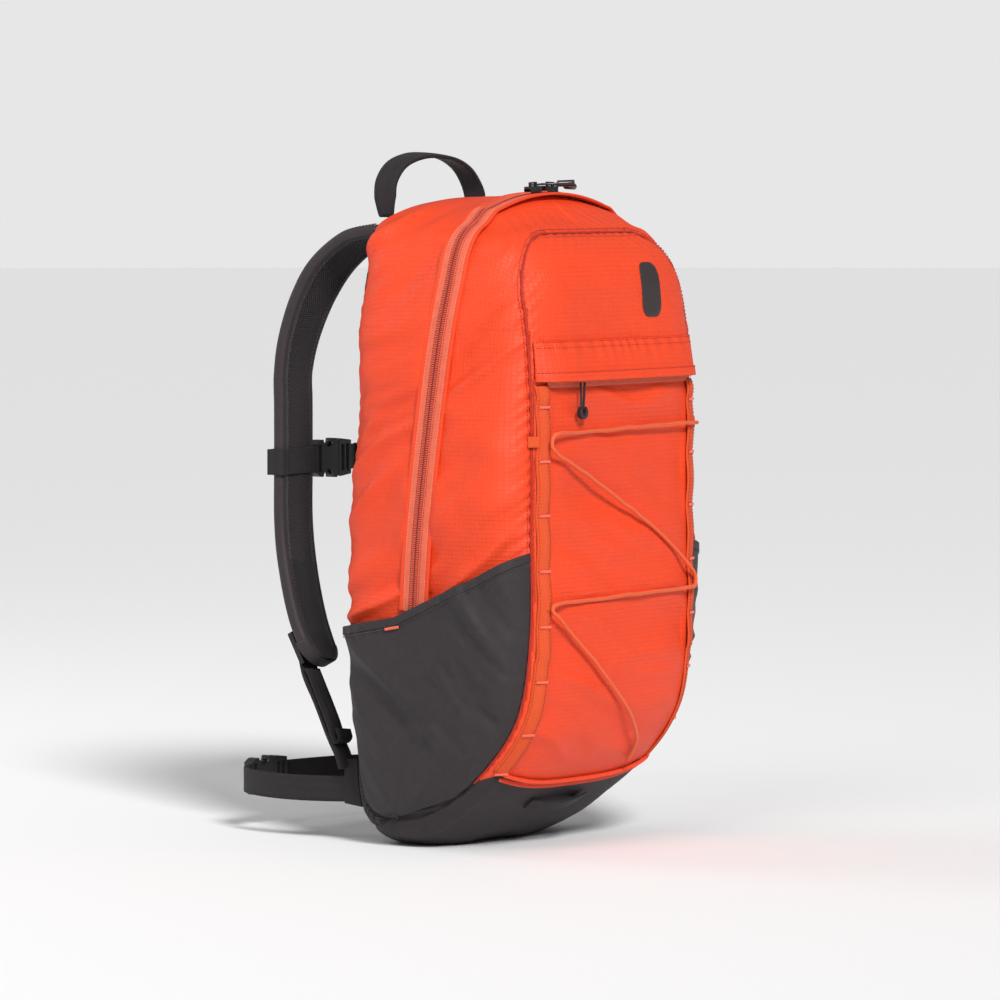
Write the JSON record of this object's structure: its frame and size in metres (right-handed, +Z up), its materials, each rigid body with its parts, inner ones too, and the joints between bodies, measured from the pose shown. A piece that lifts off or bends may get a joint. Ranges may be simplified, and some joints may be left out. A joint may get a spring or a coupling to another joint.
{
  "type": "hiking daypack",
  "caption": "Zipped fabric daypack with stretch side pockets, bungee-laced front pocket, padded shoulder straps, sternum strap and webbing hip belt.",
  "frame": {"origin": "middle of the flat of the boot panel, which the bag stands on", "axes": "+Z up, the front pocket faces -Y, the harness faces +Y, the wearer's left side is -X"},
  "size_m": [0.2672, 0.3303, 0.5389],
  "materials": {
    "ripstop": "coated ripstop nylon with a fine grid",
    "boot_fabric": "smooth coated packcloth",
    "stretch_fabric": "matt stretch woven",
    "lining": "thin lining",
    "foam": "closed-cell foam",
    "spacer_mesh": "open spacer mesh",
    "strap_fabric": "smooth woven",
    "binding": "folded edge tape",
    "webbing": "woven webbing",
    "orange_webbing": "woven webbing",
    "bungee": "braided elastic cord",
    "bartack_thread": "dense stitching",
    "zip_tape": "zip tape",
    "zip_coil": "nylon coil",
    "slider_metal": "black satin",
    "pull_plastic": "cord with moulded grip",
    "buckle_plastic": "moulded acetal",
    "badge_print": "printed badge"
  },
  "bodies": {
    "bag": {"bag_gusset": "ripstop", "front_panel": "ripstop", "pocket_panel": "ripstop", "pocket_back_wall": "lining", "storm_flap": "ripstop", "boot_panel": "boot_fabric", "back_panel_mesh": "spacer_mesh", "back_panel_foam": "foam", "hydration_sleeve": "lining", "hydration_loop": "webbing", "side_pocket_left": "stretch_fabric", "side_pocket_right": "stretch_fabric", "bartacks": "bartack_thread", "main_zip_tape": "zip_tape", "main_zip_coil": "zip_coil", "pocket_zip_tape": "zip_tape", "pocket_zip_coil": "zip_coil", "daisy_chain_left": "orange_webbing", "daisy_chain_right": "orange_webbing", "bungee_cord": "bungee", "bungee_loops": "orange_webbing", "seam_piping": "orange_webbing", "boot_loop": "boot_fabric", "badge": "badge_print", "yoke_patch": "webbing", "anchor_wings": "webbing"},
    "grab_handle": {"grab_handle": "webbing"},
    "main_slider_left": {"main_slider_left": "slider_metal"},
    "main_slider_right": {"main_slider_right": "slider_metal"},
    "main_pull_left": {"main_pull_left": "pull_plastic"},
    "main_pull_right": {"main_pull_right": "pull_plastic"},
    "pocket_slider": {"pocket_slider": "slider_metal"},
    "pocket_pull": {"pocket_cord_pull": "pull_plastic"},
    "strap_left": {"strap_foam_left": "strap_fabric", "strap_mesh_left": "spacer_mesh", "strap_binding_left": "binding", "strap_webbing_left": "webbing", "ladder_loop_left": "webbing"},
    "strap_right": {"strap_foam_right": "strap_fabric", "strap_mesh_right": "spacer_mesh", "strap_binding_right": "binding", "strap_webbing_right": "webbing", "ladder_loop_right": "webbing"},
    "ladder_lock_left": {"ladder_lock_left": "buckle_plastic"},
    "ladder_lock_right": {"ladder_lock_right": "buckle_plastic"},
    "lower_webbing_left": {"lower_webbing_left": "webbing"},
    "lower_webbing_right": {"lower_webbing_right": "webbing"},
    "sternum_strap": {"sternum_tab_left": "webbing", "sternum_tab_right": "webbing", "sternum_socket": "buckle_plastic", "sternum_plug": "buckle_plastic"},
    "sternum_arm_upper": {"sternum_arm_upper": "buckle_plastic"},
    "sternum_arm_lower": {"sternum_arm_lower": "buckle_plastic"},
    "hip_belt": {"hip_webbing_left": "webbing", "hip_webbing_right": "webbing", "hip_socket": "buckle_plastic", "hip_plug": "buckle_plastic"},
    "hip_arm_upper": {"hip_arm_upper": "buckle_plastic"},
    "hip_arm_lower": {"hip_arm_lower": "buckle_plastic"}
  },
  "joints": [
    {"name": "grab_handle_hinge", "type": "hinge", "parent": "bag", "child": "grab_handle", "pos_m": [0, 0.04, 0.484], "axis": [1, 0, 0], "range_deg": [-45, 30]},
    {"name": "strap_left_hinge", "type": "hinge", "parent": "bag", "child": "strap_left", "pos_m": [0, 0.045, 0.473], "axis": [1, 0, 0], "range_deg": [0, 18]},
    {"name": "strap_right_hinge", "type": "hinge", "parent": "bag", "child": "strap_right", "pos_m": [0, 0.045, 0.473], "axis": [1, 0, 0], "range_deg": [0, 18]},
    {"name": "lower_webbing_left_hinge", "type": "hinge", "parent": "bag", "child": "lower_webbing_left", "pos_m": [-0.09, 0.057, 0.069], "axis": [1, 0, 0], "range_deg": [-16.2, 0]},
    {"name": "lower_webbing_right_hinge", "type": "hinge", "parent": "bag", "child": "lower_webbing_right", "pos_m": [0.09, 0.057, 0.069], "axis": [1, 0, 0], "range_deg": [-16.2, 0]},
    {"name": "sternum_height", "type": "slide", "parent": "strap_left", "child": "sternum_strap", "axis": [0, 0, 1], "range_m": [-0.025, 0.025]},
    {"name": "sternum_squeeze_upper", "type": "slide", "parent": "sternum_strap", "child": "sternum_arm_upper", "axis": [0, 0, -1], "range_m": [0, 0.0024], "stiffness_N_per_m": 900},
    {"name": "sternum_squeeze_lower", "type": "slide", "parent": "sternum_strap", "child": "sternum_arm_lower", "axis": [0, 0, 1], "range_m": [0, 0.0024], "stiffness_N_per_m": 900},
    {"name": "ladder_lock_left_tilt", "type": "hinge", "parent": "strap_left", "child": "ladder_lock_left", "pos_m": [-0.07, 0.112, 0.16], "axis": [1, 0, 0], "range_deg": [0, 30]},
    {"name": "ladder_lock_right_tilt", "type": "hinge", "parent": "strap_right", "child": "ladder_lock_right", "pos_m": [0.07, 0.112, 0.16], "axis": [1, 0, 0], "range_deg": [0, 30]},
    {"name": "hip_belt_hinge", "type": "hinge", "parent": "bag", "child": "hip_belt", "pos_m": [0, 0.0585, 0.041], "axis": [1, 0, 0], "range_deg": [-8, 18]},
    {"name": "hip_squeeze_upper", "type": "slide", "parent": "hip_belt", "child": "hip_arm_upper", "axis": [0, 0, -1], "range_m": [0, 0.0024], "stiffness_N_per_m": 900},
    {"name": "hip_squeeze_lower", "type": "slide", "parent": "hip_belt", "child": "hip_arm_lower", "axis": [0, 0, 1], "range_m": [0, 0.0024], "stiffness_N_per_m": 900},
    {"name": "main_slider_left_run", "type": "hinge", "parent": "bag", "child": "main_slider_left", "pos_m": [0, -0.068, 0.2865], "axis": [0, 1, 0], "range_deg": [-14, 0]},
    {"name": "main_slider_right_run", "type": "hinge", "parent": "bag", "child": "main_slider_right", "pos_m": [0, -0.068, 0.2865], "axis": [0, 1, 0], "range_deg": [0, 14]},
    {"name": "main_pull_left_flip", "type": "hinge", "parent": "main_slider_left", "child": "main_pull_left", "pos_m": [-0.01023, -0.068, 0.50827], "axis": [0, -1, 0], "range_deg": [0, 80]},
    {"name": "main_pull_right_flip", "type": "hinge", "parent": "main_slider_right", "child": "main_pull_right", "pos_m": [0.01146, -0.068, 0.50821], "axis": [0, -1, 0], "range_deg": [0, 80]},
    {"name": "pocket_slider_run", "type": "slide", "parent": "bag", "child": "pocket_slider", "axis": [1, 0, 0], "range_m": [-0.012, 0.128]},
    {"name": "pocket_pull_swing", "type": "hinge", "parent": "pocket_slider", "child": "pocket_pull", "pos_m": [-0.058, -0.1495, 0.3615], "axis": [-1, 0, 0], "range_deg": [0, 30]}
  ],
  "couplings": [
    {"joint": "strap_right_hinge", "follows": "strap_left_hinge", "ratio": 1},
    {"joint": "lower_webbing_left_hinge", "follows": "strap_left_hinge", "ratio": -0.9},
    {"joint": "lower_webbing_right_hinge", "follows": "strap_left_hinge", "ratio": -0.9},
    {"joint": "sternum_squeeze_lower", "follows": "sternum_squeeze_upper", "ratio": 1},
    {"joint": "hip_squeeze_lower", "follows": "hip_squeeze_upper", "ratio": 1}
  ]
}
